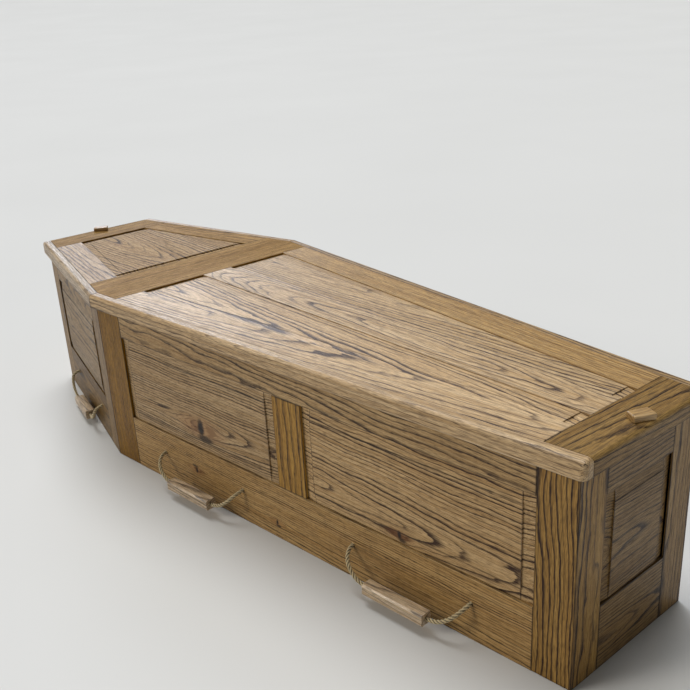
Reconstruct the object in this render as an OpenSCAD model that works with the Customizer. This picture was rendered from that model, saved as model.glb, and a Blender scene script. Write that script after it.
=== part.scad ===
// A six-sided coffin of framed and panelled oak, with a lid that lifts off
// and six rope handles. Head end at -X, foot end at +X, near side at -Y.

/* [Lid outline] */
// Length of the lid from head to foot
lid_length = 2000; // [1500:10:2300]
// Distance from the head end to the shoulders
shoulder_x = 617; // [450:1:760]
// Width across the head end
head_w = 376; // [280:2:480]
// Width across the shoulders
shoulder_w = 664; // [520:2:800]
// Width across the foot end
foot_w = 376; // [280:2:480]

/* [Lid build] */
// Thickness of the lid
lid_t = 34; // [24:1:45]
// How far the lid stands out past the walls
overhang = 15; // [8:1:25]
// Width of the strip that edges each slanting side
strip_w = 24; // [15:1:40]
// Radius of the rounded top edge
edge_r = 10; // [4:1:14]
// Radius of the four end corners seen from above
corner_r = 14; // [12:1:30]
// Width of the rail at the head
head_rail_w = 108; // [70:1:140]
// Width of the rail across the shoulders
mid_rail_w = 168; // [110:1:220]
// Width of the rail at the foot
foot_rail_w = 90; // [60:1:130]
// Width of the long stiles beside the panels
lid_stile_w = 78; // [50:1:100]
// Width of the middle board of the leg section
lid_muntin_w = 88; // [50:1:110]
// Width of the sloping border round each lid panel
lid_bevel_w = 20; // [12:1:30]

/* [Walls] */
// Height of the walls
wall_h = 425; // [300:5:520]
// Thickness of the wall frames
wall_t = 20; // [16:1:30]
// Height of the top rails
top_rail_h = 65; // [40:1:100]
// Height of the bottom rails
bottom_rail_h = 139; // [110:1:180]
// Width of the long sides' stile at the shoulder
long_shoulder_stile_w = 95; // [60:1:120]
// Width of the long sides' stile at the foot
long_foot_stile_w = 79; // [50:1:120]
// Width of the upright between the long sides' two panels
muntin_w = 86; // [50:1:120]
// Width of the short sides' stile at the shoulder
short_shoulder_stile_w = 78; // [50:1:110]
// Width of the short sides' stile at the head
short_head_stile_w = 85; // [50:1:110]
// Width of the head end's stiles
head_stile_w = 78; // [50:1:100]
// Width of the foot end's stiles
foot_stile_w = 75; // [50:1:100]
// Width of the sloping border round each wall panel
wall_bevel_w = 25; // [12:1:35]
// Thickness of the bottom board
bottom_t = 18; // [12:1:25]

/* [Panels] */
// Depth of a panel's field below the face of its frame
field_recess = 0.5; // [0.5:0.5:3]
// Height of the square step at the field's two ends
field_step = 3; // [1:0.5:4]
// Height of the step along the field's two sides
side_step = 0.5; // [0.5:0.5:2]
// Depth of a lid panel's border at the frame across its ends
lid_border_depth = 5.5; // [4:0.5:12]
// Depth of a lid panel's border at the frame along its sides
lid_side_depth = 2; // [1.5:0.5:4]
// Depth of a wall panel's border at the frame across its ends
wall_border_depth = 7; // [4:0.5:10]
// Depth of a wall panel's border at the frame along its sides
wall_side_depth = 3; // [1.5:0.5:4]
// Thickness of the edge that sits in the frame's groove
tongue_t = 6; // [4:0.5:8]
// How far the edge reaches into the groove
tongue_w = 10; // [6:1:14]
// Clearance of a panel in its groove, each way
groove_gap = 0.2; // [0.1:0.1:0.5]

/* [Pegs on the lid] */
// Length of a peg block
peg_l = 42; // [25:1:60]
// Width of a peg block
peg_w = 26; // [15:1:40]
// Height of a peg block
peg_h = 12; // [8:1:20]
// Width of the peg blocks' planed edges
peg_chamfer = 1.5; // [0.5:0.5:3]
// Distance of a peg block's middle from the lid's end
peg_inset = 24; // [24:1:45]
// Turn of the foot peg
foot_peg_turn = -24; // [-45:1:45]
// Turn of the head peg
head_peg_turn = -32; // [-45:1:45]

/* [Handles] */
// Diameter of the rope
rope_d = 9; // [6:0.5:12]
// Clearance round the rope in its holes
rope_gap = 0.5; // [0.3:0.1:1]
// Distance between a handle's two rope holes
hole_spacing = 296; // [240:2:340]
// Height of the rope holes above the ground
hole_z = 80; // [60:1:100]
// Length of a wooden grip
grip_l = 152; // [110:2:170]
// Width of a grip, out from the wall
grip_w = 28; // [22:1:36]
// Height of a grip
grip_h = 25; // [20:1:32]
// Width of a grip's planed edges
grip_chamfer = 3; // [1:0.5:5]

/* [Hidden] */

// Number of facets round curves
$fn = 48;
// Reach of a cutter past what it cuts
past = 1;
// How far a panel's end borders are cut in under its field
under_field = 1;

OAK = "peru";
OAK_PALE = "burlywood";
OAK_DARK = "sienna";
ROPE = "wheat";

// ---- The six-sided outline -------------------------------------------------

head_x = -lid_length / 2;
foot_x = lid_length / 2;
vertex_x = head_x + shoulder_x;

// Slope of the outline, head part and leg part
head_slope = (shoulder_w - head_w) / 2 / shoulder_x;
leg_slope = (foot_w - shoulder_w) / 2 / (lid_length - shoulder_x);
head_stretch = sqrt(1 + head_slope * head_slope);
leg_stretch = sqrt(1 + leg_slope * leg_slope);

// Half the width of the outline at x, moved in by a distance
function head_half(x, inset) =
  head_w / 2 + head_slope * (x - head_x) - inset * head_stretch;
function leg_half(x, inset) =
  shoulder_w / 2 + leg_slope * (x - vertex_x) - inset * leg_stretch;
function half_at(x, inset) = min(head_half(x, inset), leg_half(x, inset));
// Where the moved outline has its widest point
function widest_x(inset) =
  vertex_x + inset * (head_stretch - leg_stretch) / (head_slope - leg_slope);

// The outline moved in by one distance at the sides and another at the ends
function outline(side, end) = [
  [head_x + end, -half_at(head_x + end, side)],
  [widest_x(side), -half_at(widest_x(side), side)],
  [foot_x - end, -half_at(foot_x - end, side)],
  [foot_x - end, half_at(foot_x - end, side)],
  [widest_x(side), half_at(widest_x(side), side)],
  [head_x + end, half_at(head_x + end, side)],
];

lid_plan = outline(0, 0);
case_plan = outline(overhang, overhang);
inner_plan = outline(overhang + wall_t, overhang + wall_t);

// ---- Plane geometry --------------------------------------------------------

function next(i, n) = (i + 1) % n;
function heading(p, q) = atan2(q[1] - p[1], q[0] - p[0]);
function cross2(a, b) = a[0] * b[1] - a[1] * b[0];
function unit(v) = v / norm(v);
function left_of(v) = [-v[1], v[0]];
// Where the line through p along a meets the line through q along b
function meet(p, a, q, b) = p + a * cross2(q - p, b) / cross2(a, b);

// A polygon that runs anticlockwise, with each edge moved out by a distance
function grown(points, distance) =
  let (n = len(points))
  [for (i = [0:n - 1])
    let (before = points[(i + n - 1) % n], here = points[i], after = points[next(i, n)])
    let (a = unit(here - before), b = unit(after - here))
    meet(here - left_of(a) * distance, a, here - left_of(b) * distance, b)];

// ---- Panels and the grooves that hold them ---------------------------------
// A panel lies in the XY plane, with the face of its frame at z = 0.

// A tongued slab, a pad that slopes up from it, and a flat field on the pad.
// Even edges of the opening are the panel's sides, and odd edges are its ends.
module raised_panel(opening, bevel_w, depth, side_depth) {
  back = depth + tongue_t;
  translate([0, 0, -back]) {
    linear_extrude(tongue_t) polygon(grown(opening, tongue_w));
    linear_extrude(back - field_recess) polygon(grown(opening, -bevel_w));
  }
  difference() {
    translate([0, 0, -depth - tongue_t / 2])
      linear_extrude(depth + tongue_t / 2 - field_recess - side_step / 2)
        polygon(grown(opening, -groove_gap));
    for (i = [0:2:len(opening) - 1])
      slope_cutter(opening, i, bevel_w, 2 * bevel_w, side_depth, side_step);
    for (i = [1:2:len(opening) - 1])
      slope_cutter(opening, i, bevel_w, bevel_w + under_field, depth, field_step);
  }
}

// What is cut away above the sloping border along edge i of a panel, as far in as reach
module slope_cutter(opening, i, bevel_w, reach, depth, step) {
  p = opening[i];
  q = opening[next(i, len(opening))];
  slope = (depth - field_recess - step) / bevel_w;
  outer = -tongue_w;
  translate([(p[0] + q[0]) / 2, (p[1] + q[1]) / 2, 0])
    rotate([0, 0, heading(p, q)])
      rotate([90, 0, 90])
        linear_extrude(norm(q - p) + 4 * tongue_w, center = true)
          polygon([
            [outer, slope * outer - depth],
            [reach, slope * reach - depth],
            [reach, past],
            [outer, past],
          ]);
}

module panel_groove(opening, depth) {
  translate([0, 0, -depth - tongue_t - groove_gap])
    linear_extrude(tongue_t + 2 * groove_gap)
      polygon(grown(opening, tongue_w + past));
}

// ---- Lid -------------------------------------------------------------------

lid_top = wall_h + lid_t;
mid_x0 = vertex_x - mid_rail_w / 2;
mid_x1 = vertex_x + mid_rail_w / 2;
rail_x0 = head_x + head_rail_w;
rail_x1 = foot_x - foot_rail_w;
stile_in = strip_w + lid_stile_w;

head_opening = [
  [rail_x0, -half_at(rail_x0, stile_in)],
  [mid_x0, -half_at(mid_x0, stile_in)],
  [mid_x0, half_at(mid_x0, stile_in)],
  [rail_x0, half_at(rail_x0, stile_in)],
];
leg_opening = [
  [mid_x1, lid_muntin_w / 2],
  [rail_x1, lid_muntin_w / 2],
  [rail_x1, half_at(rail_x1, stile_in)],
  [mid_x1, half_at(mid_x1, stile_in)],
];

module far_side() {
  mirror([0, 1, 0]) children();
}

module lid_grooves() {
  translate([0, 0, lid_top]) {
    panel_groove(head_opening, lid_border_depth);
    panel_groove(leg_opening, lid_border_depth);
    far_side() panel_groove(leg_opening, lid_border_depth);
  }
}

// The rounding along the lid's edge i, as a bar to cut away
module edge_cutter(i) {
  p = lid_plan[i];
  q = lid_plan[next(i, 6)];
  translate([p[0], p[1], lid_top])
    rotate([0, 0, heading(p, q)])
      translate([-2 * edge_r, 0, 0])
        rotate([90, 0, 90])
          linear_extrude(norm(q - p) + 4 * edge_r)
            difference() {
              translate([-past, -edge_r]) square(edge_r + past);
              translate([edge_r, -edge_r]) circle(edge_r);
            }
}

// The rounding stops just short of running smoothly into the edges
corner_ease = 1.02;

// The rounding of the lid's upright corner i, as a post to cut away
module corner_cutter(i) {
  before = lid_plan[(i + 5) % 6];
  here = lid_plan[i];
  after = lid_plan[next(i, 6)];
  a = unit(here - before);
  b = unit(after - here);
  middle = meet(here + left_of(a) * corner_r, a, here + left_of(b) * corner_r, b);
  foot_a = middle - left_of(a) * 2 * corner_r;
  foot_b = middle - left_of(b) * 2 * corner_r;
  outside = here + (here - middle) * past;
  translate([0, 0, wall_h - past])
    linear_extrude(lid_t + 2 * past)
      difference() {
        polygon([middle, foot_a, outside, foot_b]);
        translate(middle) circle(corner_r * corner_ease);
      }
}

// A board of the lid from its outline, cut by grooves
module lid_board(plan) {
  difference() {
    translate([0, 0, wall_h]) linear_extrude(lid_t) polygon(plan);
    lid_grooves();
  }
}

// A board that reaches the lid's edge, rounded along the edges listed
module edge_board(plan, edges, corners) {
  difference() {
    translate([0, 0, wall_h]) linear_extrude(lid_t) polygon(plan);
    lid_grooves();
    for (i = edges) edge_cutter(i);
    for (i = corners) corner_cutter(i);
  }
}

// A straight cross board between two places along the lid
function cross_board(x0, x1) = [
  [x0, -half_at(x0, strip_w)], [x1, -half_at(x1, strip_w)],
  [x1, half_at(x1, strip_w)], [x0, half_at(x0, strip_w)],
];

module lid_head_rail() {
  color(OAK) edge_board(cross_board(head_x, rail_x0), [5], []);
}

module lid_foot_rail() {
  color(OAK) edge_board(cross_board(rail_x1, foot_x), [2], []);
}

// The rail at the shoulders has a pointed end in each shoulder
module lid_mid_rail() {
  x = widest_x(strip_w);
  y = half_at(x, strip_w);
  color(OAK)
    lid_board([
      [mid_x0, -half_at(mid_x0, strip_w)], [x, -y], [mid_x1, -half_at(mid_x1, strip_w)],
      [mid_x1, half_at(mid_x1, strip_w)], [x, y], [mid_x0, half_at(mid_x0, strip_w)],
    ]);
}

// A stile along the far side between two places along the lid
module lid_stile(x0, x1) {
  color(OAK_PALE)
    lid_board([
      [x0, half_at(x0, stile_in)], [x1, half_at(x1, stile_in)],
      [x1, half_at(x1, strip_w)], [x0, half_at(x0, strip_w)],
    ]);
}

module lid_head_stile() {
  lid_stile(rail_x0, mid_x0);
}

module lid_leg_stile() {
  lid_stile(mid_x1, rail_x1);
}

module lid_muntin() {
  color(OAK_PALE)
    lid_board([
      [mid_x1, -lid_muntin_w / 2], [rail_x1, -lid_muntin_w / 2],
      [rail_x1, lid_muntin_w / 2], [mid_x1, lid_muntin_w / 2],
    ]);
}

module lid_head_panel() {
  color(OAK_PALE)
    translate([0, 0, lid_top])
      raised_panel(head_opening, lid_bevel_w, lid_border_depth, lid_side_depth);
}

module lid_leg_panel() {
  color(OAK_PALE)
    translate([0, 0, lid_top])
      raised_panel(leg_opening, lid_bevel_w, lid_border_depth, lid_side_depth);
}

// The strips that edge the far side, mitred at the shoulder
module lid_short_edge() {
  color(OAK)
    edge_board([
      [head_x, half_at(head_x, strip_w)],
      [widest_x(strip_w), half_at(widest_x(strip_w), strip_w)],
      [vertex_x, shoulder_w / 2],
      [head_x, head_w / 2],
    ], [4, 5], [5]);
}

module lid_long_edge() {
  color(OAK)
    edge_board([
      [widest_x(strip_w), half_at(widest_x(strip_w), strip_w)],
      [foot_x, half_at(foot_x, strip_w)],
      [foot_x, foot_w / 2],
      [vertex_x, shoulder_w / 2],
    ], [2, 3], [3]);
}

// A block on the lid with planed top edges, middle at x, turned
module peg(x, turn) {
  color(OAK)
    translate([x, 0, lid_top])
      rotate([0, 0, turn])
        intersection() {
          rotate([90, 0, 0])
            linear_extrude(peg_l, center = true) planed_section(peg_w, peg_h);
          rotate([90, 0, 90])
            linear_extrude(peg_w, center = true) planed_section(peg_l, peg_h);
        }
}

// A block's section, with its top two corners planed off
module planed_section(w, h) {
  polygon([
    [-w / 2, 0], [w / 2, 0], [w / 2, h - peg_chamfer], [w / 2 - peg_chamfer, h],
    [peg_chamfer - w / 2, h], [-w / 2, h - peg_chamfer],
  ]);
}

module head_peg() {
  peg(head_x + peg_inset, head_peg_turn);
}

module foot_peg() {
  peg(foot_x - peg_inset, foot_peg_turn);
}

// ---- Walls -----------------------------------------------------------------
// Wall i runs from corner i of case_plan to the next one. In a wall's own
// frame x is along it, y is inward from its outer face, and z is up.

SHORT = 0;
LONG = 1;
FOOT = 2;
HEAD = 5;

opening_h = wall_h - top_rail_h - bottom_rail_h;

function wall_length(i) = norm(case_plan[next(i, 6)] - case_plan[i]);
// Where the inner face starts and ends along wall i
function inner_start(i) =
  (inner_plan[i] - case_plan[i]) * unit(case_plan[next(i, 6)] - case_plan[i]);
function inner_end(i) =
  (inner_plan[next(i, 6)] - case_plan[i]) * unit(case_plan[next(i, 6)] - case_plan[i]);

module in_wall(i) {
  translate([case_plan[i][0], case_plan[i][1], 0])
    rotate([0, 0, heading(case_plan[i], case_plan[next(i, 6)])])
      children();
}

// The openings of each wall: [from, to] along it
function long_opening_w() =
  (wall_length(LONG) - long_shoulder_stile_w - muntin_w - long_foot_stile_w) / 2;
function openings(i) =
  i == SHORT ? [[short_head_stile_w, wall_length(SHORT) - short_shoulder_stile_w]] :
  i == LONG ? [
    [long_shoulder_stile_w, long_shoulder_stile_w + long_opening_w()],
    [long_shoulder_stile_w + long_opening_w() + muntin_w,
     wall_length(LONG) - long_foot_stile_w],
  ] :
  i == FOOT ? [[foot_stile_w, wall_length(FOOT) - foot_stile_w]] :
  [[head_stile_w, wall_length(HEAD) - head_stile_w]];

function opening_points(span) = [
  [span[0], bottom_rail_h], [span[1], bottom_rail_h],
  [span[1], bottom_rail_h + opening_h], [span[0], bottom_rail_h + opening_h],
];

// Stands a flat shape up in a wall's frame, its face on the outer face
module stand_up() {
  rotate([90, 0, 0]) children();
}

module wall_grooves(i) {
  for (span = openings(i))
    stand_up() panel_groove(opening_points(span), wall_border_depth);
}

module wall_panel(i, k) {
  color(OAK_PALE)
    in_wall(i)
      stand_up()
        raised_panel(
          opening_points(openings(i)[k]), wall_bevel_w,
          wall_border_depth, wall_side_depth
        );
}

// The stile that starts wall i, mitred to the wall before it
module start_stile(i) {
  w = openings(i)[0][0];
  color(OAK)
    in_wall(i)
      difference() {
        linear_extrude(wall_h)
          polygon([[0, 0], [w, 0], [w, wall_t], [inner_start(i), wall_t]]);
        wall_grooves(i);
      }
}

// The stile that ends wall i, mitred to the wall after it
module end_stile(i) {
  x = stile_from(i);
  color(OAK)
    in_wall(i)
      difference() {
        linear_extrude(wall_h)
          polygon([[x, 0], [wall_length(i), 0], [inner_end(i), wall_t], [x, wall_t]]);
        wall_grooves(i);
      }
}

// Where the last stile of wall i begins, along the wall
function stile_from(i) = let (spans = openings(i)) spans[len(spans) - 1][1];
// The plan point at x along wall i and y in from its outer face
function on_wall(i, x, y) =
  let (along = unit(case_plan[next(i, 6)] - case_plan[i]))
  case_plan[i] + along * x + left_of(along) * y;

// The two stiles that meet at an end corner, glued along their mitre
module corner_post(before, after) {
  w = openings(after)[0][0];
  color(OAK)
    difference() {
      linear_extrude(wall_h)
        polygon([
          on_wall(before, stile_from(before), 0), case_plan[after], on_wall(after, w, 0),
          on_wall(after, w, wall_t), inner_plan[after],
          on_wall(before, stile_from(before), wall_t),
        ]);
      in_wall(before) wall_grooves(before);
      in_wall(after) wall_grooves(after);
    }
}

module upright(i) {
  x0 = openings(i)[0][1];
  x1 = openings(i)[1][0];
  color(OAK)
    in_wall(i)
      difference() {
        translate([x0, 0, bottom_rail_h]) cube([x1 - x0, wall_t, opening_h]);
        wall_grooves(i);
      }
}

// A rail of wall i between its two end stiles
module rail(i, z, h) {
  x0 = openings(i)[0][0];
  x1 = stile_from(i);
  color(OAK)
    in_wall(i)
      difference() {
        translate([x0, 0, z]) cube([x1 - x0, wall_t, h]);
        wall_grooves(i);
        rope_holes(i);
      }
}

module top_rail(i) {
  rail(i, bottom_rail_h + opening_h, top_rail_h);
}

module bottom_rail(i) {
  rail(i, 0, bottom_rail_h);
}

module head_corner() {
  corner_post(HEAD, SHORT);
}

module foot_corner() {
  corner_post(LONG, FOOT);
}

module bottom_board() {
  color(OAK_DARK) linear_extrude(bottom_t) polygon(inner_plan);
}

// ---- Handles ---------------------------------------------------------------
// Each handle hangs at the middle of a panel, from two holes in the bottom rail.
// Handle frame: x along the wall from the handle's middle, y inward, z up.

function middle(span) = (span[0] + span[1]) / 2;
function handle_places(i) =
  i == SHORT || i == LONG ? [for (span = openings(i)) middle(span)] : [];

module rope_holes(i) {
  for (x = handle_places(i))
    for (side = [-1, 1])
      translate([x + side * hole_spacing / 2, -past, hole_z])
        rotate([-90, 0, 0])
          cylinder(h = wall_t + 2 * past, d = rope_d + 2 * rope_gap);
}

// The hanging half of each rope, from near its hole to the grip's mouth: along
// the wall, inward, and up from the hole. It is drawn for holes HANG_HOLE and
// mouths HANG_MOUTH from the handle's middle, and stretches along to fit others.
HANG_HOLE = 148;
HANG_MOUTH = 80;
LONG_HANG = [[143, -21, -6], [129, -35, -21], [106, -41, -37], [80, -42, -44]];
// The short sides' grips slope, so their ropes differ at the two ends.
SHORT_HANG_HEAD = [[148, -19, -8], [139, -25, -30], [116, -26, -52], [82, -24, -62]];
SHORT_HANG_FOOT = [[147, -18, -7], [136, -25, -25], [112, -26, -44], [82, -24, -50]];

// How far a knot reaches behind the wall, and a rope runs straight out of it
knot_depth = 8;
straight_out = 4;

grip_mouth = grip_l / 2 + straight_out;
function fitted(x) =
  grip_mouth + (x - HANG_MOUTH) * (hole_spacing / 2 - grip_mouth) / (HANG_HOLE - HANG_MOUTH);
// Half a rope's route, from its knot to the grip, on the side with this sign
function half_route(hang, side) = concat(
  [for (y = [wall_t + knot_depth, wall_t, -straight_out]) [side * hole_spacing / 2, y, hole_z]],
  [for (p = hang) [side * fitted(p[0]), p[1], hole_z + p[2]]]
);

function reversed(list) = [for (i = [len(list) - 1:-1:0]) list[i]];

long_route = concat(half_route(LONG_HANG, -1), reversed(half_route(LONG_HANG, 1)));
short_route = concat(half_route(SHORT_HANG_HEAD, -1), reversed(half_route(SHORT_HANG_FOOT, 1)));

// How much fatter than the rope its knotted ends are
knot_swell = 1.6;
rope_sides = 8;

function radius_at(i, n) = i == 0 || i == n - 1 ? rope_d / 2 * knot_swell : rope_d / 2;
function along(route, i) =
  unit(route[min(i + 1, len(route) - 1)] - route[max(i - 1, 0)]);
// A ring's two cross directions: level with the ground, and square to that
function level(t) = unit(cross([0, 0, 1], t));

module rope(route) {
  n = len(route);
  points = [for (i = [0:n - 1])
    let (t = along(route, i), a = level(t), b = cross(t, a))
    let (r = radius_at(i, n) / cos(180 / rope_sides))
    for (k = [0:rope_sides - 1])
      let (turn = (k + 0.5) * 360 / rope_sides)
      route[i] + r * (a * cos(turn) + b * sin(turn))];
  sides = [for (i = [0:n - 2], k = [0:rope_sides - 1])
    let (m = next(k, rope_sides))
    let (here = i * rope_sides, on = here + rope_sides)
    [here + k, on + k, on + m, here + m]];
  ends = [
    [for (k = [0:rope_sides - 1]) k],
    [for (k = [rope_sides - 1:-1:0]) (n - 1) * rope_sides + k],
  ];
  color(ROPE) polyhedron(points, concat(sides, ends), convexity = 4);
}

module at_handle(i, k) {
  in_wall(i) translate([handle_places(i)[k], 0, 0]) children();
}

// A bar with planed edges and a bore along it, between a route's two middle points
module grip(route) {
  from = route[len(route) / 2 - 1];
  to = route[len(route) / 2];
  slope = atan2(to[2] - from[2], to[0] - from[0]);
  w = grip_w / 2;
  h = grip_h / 2;
  c = grip_chamfer;
  color(OAK)
    translate((from + to) / 2)
      rotate([0, -slope, 0])
        rotate([90, 0, 90])
          difference() {
            linear_extrude(grip_l, center = true)
              polygon([
                [-w + c, -h], [w - c, -h], [w, -h + c], [w, h - c],
                [w - c, h], [-w + c, h], [-w, h - c], [-w, -h + c],
              ]);
            cylinder(h = grip_l + 2 * past, d = rope_d + 2 * rope_gap, center = true);
          }
}

module short_grip() {
  at_handle(SHORT, 0) grip(short_route);
}

module short_rope() {
  at_handle(SHORT, 0) rope(short_route);
}

module long_grip(k) {
  at_handle(LONG, k) grip(long_route);
}

module long_rope(k) {
  at_handle(LONG, k) rope(long_route);
}

// ---- The pieces ------------------------------------------------------------

lid_head_rail();
lid_mid_rail();
lid_foot_rail();
far_side() lid_head_stile();  // lid_head_stile_near
lid_head_stile();  // lid_head_stile_far
far_side() lid_leg_stile();  // lid_leg_stile_near
lid_leg_stile();  // lid_leg_stile_far
lid_muntin();
lid_head_panel();
far_side() lid_leg_panel();  // lid_leg_panel_near
lid_leg_panel();  // lid_leg_panel_far
far_side() lid_short_edge();  // lid_short_edge_near
lid_short_edge();  // lid_short_edge_far
far_side() lid_long_edge();  // lid_long_edge_near
lid_long_edge();  // lid_long_edge_far
head_peg();
foot_peg();
bottom_board();
head_corner();  // head_corner_near
far_side() head_corner();  // head_corner_far
foot_corner();  // foot_corner_near
far_side() foot_corner();  // foot_corner_far
top_rail(HEAD);  // head_top_rail
bottom_rail(HEAD);  // head_bottom_rail
wall_panel(HEAD, 0);  // head_panel
top_rail(FOOT);  // foot_top_rail
bottom_rail(FOOT);  // foot_bottom_rail
wall_panel(FOOT, 0);  // foot_panel
end_stile(SHORT);  // short_shoulder_stile_near
top_rail(SHORT);  // short_top_rail_near
bottom_rail(SHORT);  // short_bottom_rail_near
wall_panel(SHORT, 0);  // short_panel_near
far_side() end_stile(SHORT);  // short_shoulder_stile_far
far_side() top_rail(SHORT);  // short_top_rail_far
far_side() bottom_rail(SHORT);  // short_bottom_rail_far
far_side() wall_panel(SHORT, 0);  // short_panel_far
start_stile(LONG);  // long_shoulder_stile_near
upright(LONG);  // long_muntin_near
top_rail(LONG);  // long_top_rail_near
bottom_rail(LONG);  // long_bottom_rail_near
wall_panel(LONG, 0);  // long_shoulder_panel_near
wall_panel(LONG, 1);  // long_foot_panel_near
far_side() start_stile(LONG);  // long_shoulder_stile_far
far_side() upright(LONG);  // long_muntin_far
far_side() top_rail(LONG);  // long_top_rail_far
far_side() bottom_rail(LONG);  // long_bottom_rail_far
far_side() wall_panel(LONG, 0);  // long_shoulder_panel_far
far_side() wall_panel(LONG, 1);  // long_foot_panel_far
short_grip();  // short_grip_near
long_grip(0);  // shoulder_grip_near
long_grip(1);  // foot_grip_near
far_side() short_grip();  // short_grip_far
far_side() long_grip(0);  // shoulder_grip_far
far_side() long_grip(1);  // foot_grip_far
short_rope();  // short_rope_near
long_rope(0);  // shoulder_rope_near
long_rope(1);  // foot_rope_near
far_side() short_rope();  // short_rope_far
far_side() long_rope(0);  // shoulder_rope_far
far_side() long_rope(1);  // foot_rope_far
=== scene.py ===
"""The looks of the wooden coffin: oak boards, laid ropes, grips, floor and lights."""

from math import cos, pi, radians, sin

import bmesh
import bpy
from mathutils import Matrix, Vector


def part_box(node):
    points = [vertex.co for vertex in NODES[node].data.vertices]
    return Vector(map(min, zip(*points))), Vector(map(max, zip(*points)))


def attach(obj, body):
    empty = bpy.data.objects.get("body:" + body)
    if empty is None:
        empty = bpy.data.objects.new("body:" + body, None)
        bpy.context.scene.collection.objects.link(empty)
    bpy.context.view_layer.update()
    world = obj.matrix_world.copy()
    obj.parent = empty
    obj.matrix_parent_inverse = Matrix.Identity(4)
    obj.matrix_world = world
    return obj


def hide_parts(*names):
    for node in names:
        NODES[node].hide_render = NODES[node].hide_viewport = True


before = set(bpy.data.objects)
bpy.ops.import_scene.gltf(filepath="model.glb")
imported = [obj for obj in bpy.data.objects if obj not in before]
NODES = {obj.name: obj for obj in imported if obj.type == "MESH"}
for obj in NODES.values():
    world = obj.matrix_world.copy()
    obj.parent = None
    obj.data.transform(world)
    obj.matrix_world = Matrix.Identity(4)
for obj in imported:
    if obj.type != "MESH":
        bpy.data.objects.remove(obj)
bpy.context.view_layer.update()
MM = 0.001  # everything is in metres, and a size given in millimetres says so

# ---- Camera ----------------------------------------------------------------

EYE = Vector((1.685, -1.212, 1.150))
EYE_YAW, EYE_PITCH, EYE_ROLL = radians(140.42), radians(21.907), radians(-3.273)
EYE_LENS = 46.68
EYE_SENSOR = 36


def make_camera():
    """The view from above the near side's foot end, along the whole coffin."""
    look = Vector(
        (
            cos(EYE_YAW) * cos(EYE_PITCH),
            sin(EYE_YAW) * cos(EYE_PITCH),
            -sin(EYE_PITCH),
        )
    )
    level = Vector((sin(EYE_YAW), -cos(EYE_YAW), 0))
    lift = level.cross(look)
    right = level * cos(EYE_ROLL) + lift * sin(EYE_ROLL)
    up = lift * cos(EYE_ROLL) - level * sin(EYE_ROLL)
    data = bpy.data.cameras.new("camera")
    data.lens = EYE_LENS
    data.sensor_width = EYE_SENSOR
    data.clip_start = 0.02
    data.clip_end = 100
    camera = bpy.data.objects.new("camera", data)
    turn = Matrix((right, up, -look)).transposed()
    camera.matrix_world = Matrix.Translation(EYE) @ turn.to_4x4()
    bpy.context.scene.collection.objects.link(camera)
    bpy.context.scene.camera = camera


make_camera()

# ---- Short ways to build node trees ------------------------------------------


class Net:
    """A node tree, with one call for each node that joins it to what feeds it."""

    def __init__(self, tree):
        self.tree = tree

    def add(self, kind, feeds=None, **settings):
        node = self.tree.nodes.new(kind)
        for name, value in settings.items():
            setattr(node, name, value)
        for name, value in (feeds or {}).items():
            self.feed(node.inputs[name], value)
        return node

    def feed(self, socket, value):
        if isinstance(value, bpy.types.NodeSocket):
            self.tree.links.new(value, socket)
        else:
            socket.default_value = value

    def math(self, operation, *values, clamp=False):
        feeds = dict(enumerate(values))
        kind = "ShaderNodeMath"
        return self.add(kind, feeds, operation=operation, use_clamp=clamp).outputs[0]

    def mix(self, share, one, other):
        node = self.add("ShaderNodeMix", data_type="RGBA")
        for slot, value in ((0, share), (6, one), (7, other)):
            self.feed(node.inputs[slot], value)
        return node.outputs[2]

    def group(self, tree, feeds):
        """The outputs of a node group that is fed with these."""
        return self.add("ShaderNodeGroup", feeds, node_tree=tree).outputs

    def attribute(self, name):
        return self.add("ShaderNodeAttribute", attribute_name=name).outputs["Fac"]

    def spread(self, value, low, high, to_low=0.0, to_high=1.0):
        feeds = {0: value, 1: low, 2: high, 3: to_low, 4: to_high}
        return self.add("ShaderNodeMapRange", feeds, clamp=True).outputs[0]

    def parts(self, vector):
        return self.add("ShaderNodeSeparateXYZ", {0: vector}).outputs

    def join(self, x, y, z):
        return self.add("ShaderNodeCombineXYZ", {0: x, 1: y, 2: z}).outputs[0]

    def noise(self, vector, scale=1.0, detail=0.0, rough=0.5):
        feeds = {"Vector": vector, "Scale": scale, "Detail": detail, "Roughness": rough}
        return self.add("ShaderNodeTexNoise", feeds).outputs


def stretched(net, vector, along, across, seed):
    """The coordinates with each direction scaled on its own, moved by the seed."""
    u, v, w = net.parts(vector)
    return net.join(
        net.math("MULTIPLY_ADD", u, along, seed),
        net.math("MULTIPLY_ADD", v, across, seed),
        net.math("MULTIPLY", w, across),
    )


SOCKETS = {
    "float": "NodeSocketFloat",
    "vector": "NodeSocketVector",
    "colour": "NodeSocketColor",
    "geometry": "NodeSocketGeometry",
    "material": "NodeSocketMaterial",
    "int": "NodeSocketInt",
}


def new_group(name, kind, inputs, outputs):
    """A node group: its net, the sockets that it is given and the ones that it fills."""
    tree = bpy.data.node_groups.new(name, kind)
    for label, sort, value in inputs:
        socket = tree.interface.new_socket(
            name=label, in_out="INPUT", socket_type=SOCKETS[sort]
        )
        if value is not None:
            socket.default_value = value
    for label, sort in outputs:
        tree.interface.new_socket(
            name=label, in_out="OUTPUT", socket_type=SOCKETS[sort]
        )
    net = Net(tree)
    given = net.add("NodeGroupInput").outputs
    result = net.add("NodeGroupOutput").inputs
    return net, given, result


# ---- Oak: growth rings, pores, knot, worn edges, and painted shade and highlights at joints and edges ---
# The groups read a board's own coordinates in metres: x along the grain,
# y across the face, z out of it.


WANDER_REACH = 2.6
RING_RAGGED = 0.9
RING_RISE = 0.06
RING_THIN, RING_WIDE = 0.24, 0.60
RING_FULL = 0.30


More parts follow.
